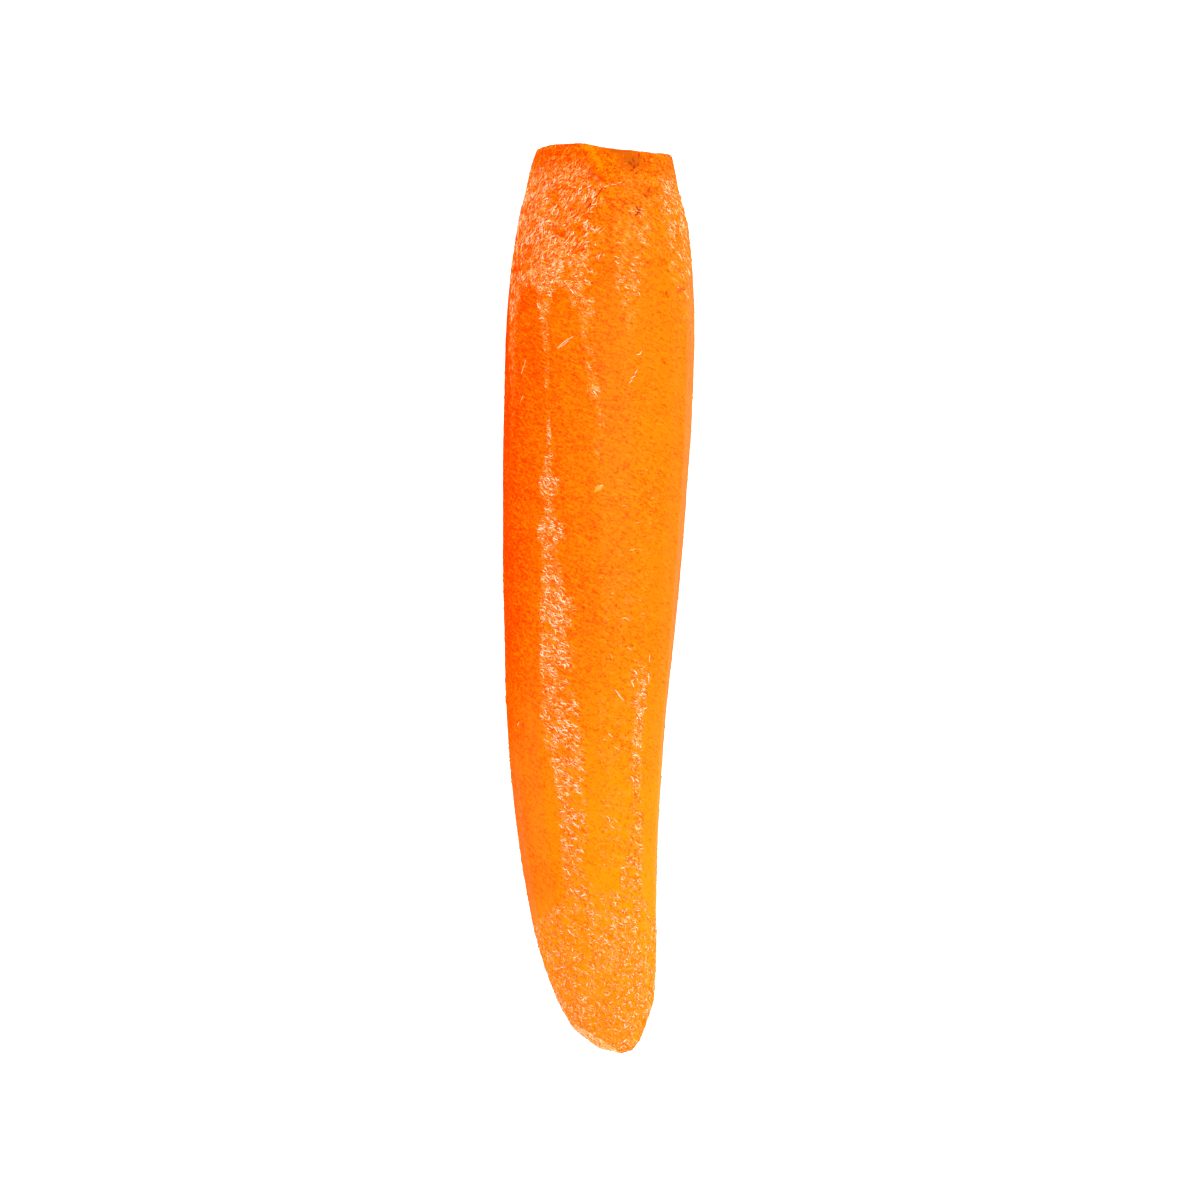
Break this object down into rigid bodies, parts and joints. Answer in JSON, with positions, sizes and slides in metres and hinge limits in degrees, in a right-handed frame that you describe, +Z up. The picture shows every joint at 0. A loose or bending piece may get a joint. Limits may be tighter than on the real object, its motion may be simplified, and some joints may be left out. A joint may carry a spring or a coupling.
{
  "type": "peeled carrot",
  "caption": "Peeled raw carrot root with its crown sliced off and a blunt trimmed tip, faceted by a peeler, lying on one flat facet.",
  "frame": {"origin": "middle of the underside of the carrot's bounding box, on the surface that it lies on", "axes": "+Z up from that surface, +Y along the root to the sliced crown and -Y to the tip, +X to the side that the tip leans to"},
  "size_m": [0.0362, 0.1708, 0.035],
  "materials": {
    "carrot_flesh": "moist peeled carrot flesh, satin, with pale dried scuffs on the ridges, the shoulder and the tip"
  },
  "bodies": {
    "root": {"carrot": "carrot_flesh"}
  },
  "joints": []
}
